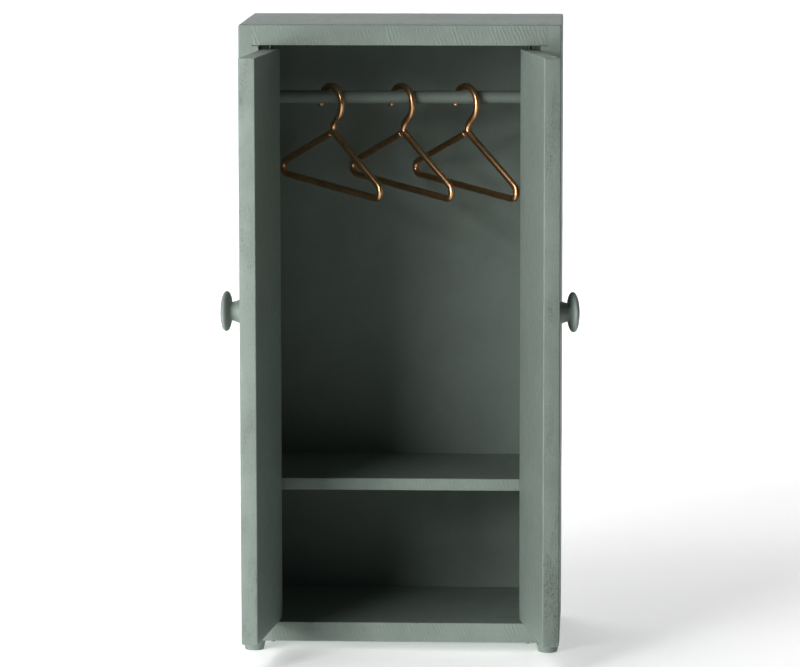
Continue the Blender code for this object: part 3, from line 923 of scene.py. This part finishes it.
# %% Sweep a round section along the path
def swept(path, radius, sides=20):
    """A tube with domed ends round a flat XZ path; it keeps one side on +Y."""
    bm = bmesh.new()
    rings = []
    first_way = (path[1] - path[0]).normalized()
    last_way = (path[-1] - path[-2]).normalized()
    stations_along = [(path[0] - first_way * radius * 0.5 * out, first_way, size)
                      for out, size in ((1.0, 0.3), (0.92, 0.6), (0.7, 0.84), (0.4, 0.97))]
    for before, here, after in zip([path[0]] + path[:-1], path, path[1:] + [path[-1]]):
        stations_along.append((here, (after - before).normalized(), 1.0))
    stations_along += [(path[-1] + last_way * radius * 0.5 * out, last_way, size)
                       for out, size in ((0.4, 0.97), (0.7, 0.84), (0.92, 0.6), (1.0, 0.3))]
    for centre, way, size in stations_along:
        side_way = Vector((-way.y, way.x))
        ring = []
        for k in range(sides):
            angle = math.tau * k / sides
            flat = centre + side_way * (math.cos(angle) * radius * size)
            ring.append(bm.verts.new((flat.x, math.sin(angle) * radius * size, flat.y)))
        rings.append(ring)
    for a, b in zip(rings, rings[1:]):
        for k in range(sides):
            n = (k + 1) % sides
            bm.faces.new((a[k], a[n], b[n], b[k]))
    bm.faces.new(rings[0])
    bm.faces.new(rings[-1])
    bmesh.ops.recalc_face_normals(bm, faces=bm.faces)
    return bm


def solder_bead(centre, size):
    """A small uneven drop, pulled out along the arm."""
    bm = bmesh.new()
    bmesh.ops.create_icosphere(bm, subdivisions=3, radius=size)
    way = (ARM.x, ARM.y)
    for vert in bm.verts:
        along = (vert.co.x * -way[0] + vert.co.z * way[1]) / math.hypot(*way)
        vert.co += Vector((-way[0], 0, way[1])).normalized() * (along * 0.35)
        vert.co += vert.normal * (0.12 * size * noise.noise(vert.co / (0.8 * MM)))
        vert.co += Vector((centre.x, 0, centre.y))
    bm.normal_update()
    return bm


def balance_angle(path):
    """Lean that brings the wire's middle of weight under the rail's axis."""
    weight = Vector((0.0, 0.0))
    total = 0.0
    for a, b in zip(path, path[1:]):
        weight += (a + b) / 2 * (b - a).length
        total += (b - a).length
    return math.atan2(weight.x / total, -weight.y / total)


def hanger(side):
    """A hanger swept along its wire's path, leaning until it balances."""
    node = f"hanger_{side}"
    joint = joints[f"{side}_hanger_swing"]
    lean = balance_angle(path)
    lift = RAIL_RADIUS + HOOK_LIFT + WIRE
    bead = solder_bead(NECK + Vector((-0.9 * MM, -0.5 * MM)), 1.1 * MM)
    wire = combined(swept(path, WIRE), bead, "UNION")
    place = (Matrix.Translation(Vector(joint["pos_m"])) @ Matrix.Rotation(-HANGER_TURN, 4, "Z")
             @ Matrix.Translation((0, 0, lift)) @ Matrix.Rotation(lean, 4, "Y"))
    return finished("bent_" + node, wire, [copper_wire], f"{side}_hanger", [node], place, 60)


for side in ("left", "middle", "right"):
    low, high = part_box(f"hanger_{side}")
    made = hanger(side)
    spots = np.array([v.co[:] for v in made.data.vertices])
    print("CAD", [round(v / MM, 1) for v in (*low, *high)], "made",
          [round(v / MM, 1) for v in (*spots.min(0), *spots.max(0))])

# %% [markdown]
# Floor, light and camera
#
# The floor is one large pale sheet that curves up behind, and it glows a
# little, so that it stays pale in the wardrobe's shadow.  From behind it is
# clear, so that it never hides the wardrobe.  The lights stand to the front
# left at several heights: low ones reach in to the back panel and the open
# right door, high ones light the shelf and the floor inside.  A weak one
# stands behind, and a wide strip whitens the backdrop.  The camera stands
# well back with a long lens, a little above the wardrobe's top.

# %% Floor that sweeps up behind
WALL = 1.5                    # metres behind the wardrobe
WALL_TOP = 2.4
BEND = 0.5
REACH = 3.0                   # how far the sheet runs to the front and sides
GLOW = 0.33                   # light that the sheet gives off itself


def floor_sweep():
    """One sheet: level, then curved up into a plain backdrop."""
    curve = [(-REACH, 0.0), (WALL - BEND, 0.0)]
    for k in range(1, 11):
        angle = math.radians(9 * k)
        curve.append((WALL - BEND + BEND * math.sin(angle), BEND - BEND * math.cos(angle)))
    curve.append((WALL, WALL_TOP))
    bm = bmesh.new()
    rows = [[bm.verts.new((x, y, z)) for x in (-REACH, -1.0, 1.0, REACH)] for y, z in curve]
    for a, b in zip(rows, rows[1:]):
        for k in range(3):
            bm.faces.new((a[k], a[k + 1], b[k + 1], b[k]))
    mesh = bpy.data.meshes.new("floor_sweep")
    bm.to_mesh(mesh)
    bm.free()
    mesh.shade_smooth()
    sheet = bpy.data.objects.new("floor_sweep", mesh)
    bpy.context.scene.collection.objects.link(sheet)
    surface, tree, shader, place = blank_material("pale_floor")
    tone = remap(tree, clouds(tree, place, 0.004, 3.0), 0.3, 0.7)
    pale = mix_colour(tree, tone, (0.88, 0.88, 0.88, 1), (0.90, 0.90, 0.90, 1))
    plug(tree, shader.inputs["Base Color"], pale)
    shader.inputs["Roughness"].default_value = 0.9
    shader.inputs["Specular IOR Level"].default_value = 0.1
    shader.inputs["Emission Color"].default_value = (1.0, 1.0, 1.0, 1.0)
    shader.inputs["Emission Strength"].default_value = GLOW
    facing = tree.nodes.new("ShaderNodeNewGeometry")
    clear = tree.nodes.new("ShaderNodeBsdfTransparent")
    either = tree.nodes.new("ShaderNodeMixShader")
    tree.links.new(facing.outputs["Backfacing"], either.inputs[0])
    tree.links.new(shader.outputs[0], either.inputs[1])
    tree.links.new(clear.outputs[0], either.inputs[2])
    tree.links.new(either.outputs[0], tree.nodes["Material Output"].inputs["Surface"])
    mesh.materials.append(surface)
    return sheet


floor_sweep()
print("floor laid")

# %% Lights
AIM = Vector((MIDDLE, 0.0, 0.11))


def soft_light(name, azimuth, elevation, distance, size, power, tall=None, aim=AIM):
    """A flat light turned to a point; azimuth turns from the front to the left."""
    a = math.radians(azimuth)
    e = math.radians(elevation)
    way = Vector((-math.sin(a) * math.cos(e), -math.cos(a) * math.cos(e), math.sin(e)))
    data = bpy.data.lights.new(name, "AREA")
    data.shape = "RECTANGLE"
    data.size = size
    data.size_y = tall or size
    data.energy = power
    lamp = bpy.data.objects.new(name, data)
    bpy.context.scene.collection.objects.link(lamp)
    lamp.location = aim + way * distance
    lamp.rotation_euler = (-way).to_track_quat("-Z", "Y").to_euler()
    return lamp


LOW_AIM = Vector((MIDDLE, 0.0, 0.02))
BACKDROP_AIM = Vector((0.0, 1.2, 0.2))
soft_light("key", 38, 8, 1.9, size=0.3, power=6.8)
soft_light("front", 27, 18, 1.9, size=0.35, power=4.4)
soft_light("front_high", 27, 32, 1.9, size=0.35, power=4.5)
soft_light("front_low", 27, 8, 1.9, size=0.35, power=1.09)
soft_light("side", 66, 47, 1.6, size=0.5, power=1.4)
soft_light("high", 45, 50, 1.6, size=0.5, power=2.7)
soft_light("low", 48, 1, 0.6, size=0.25, power=0.95, aim=LOW_AIM)
soft_light("rear", 150, 25, 1.1, size=0.7, power=0.23)
soft_light("backdrop", 0, 60, 1.1, size=2.4, power=5.6, tall=0.5, aim=BACKDROP_AIM)
world = bpy.data.worlds.new("studio")
world.use_nodes = True
sky = world.node_tree.nodes["Background"]
sky.inputs["Color"].default_value = (1.0, 1.0, 1.0, 1.0)
sky.inputs["Strength"].default_value = 0.01
bpy.context.scene.world = world

# %% Camera
lens = bpy.data.cameras.new("camera")
lens.lens = 188.3
lens.sensor_width = 36.0
camera = bpy.data.objects.new("camera", lens)
bpy.context.scene.collection.objects.link(camera)
turn = (Matrix.Rotation(math.radians(2.741), 4, "Z") @ Matrix.Rotation(math.radians(82.213), 4, "X")
        @ Matrix.Rotation(math.radians(-0.074), 4, "Z"))
camera.matrix_world = Matrix.Translation((0.07562, -1.62824, 0.34754)) @ turn
bpy.context.scene.camera = camera
picture = bpy.context.scene.view_settings
picture.view_transform = "Standard"
picture.exposure = 0.36
picture.gamma = 0.73          # a print's contrast: deeper shadows
print("camera at", [round(v, 3) for v in camera.location])
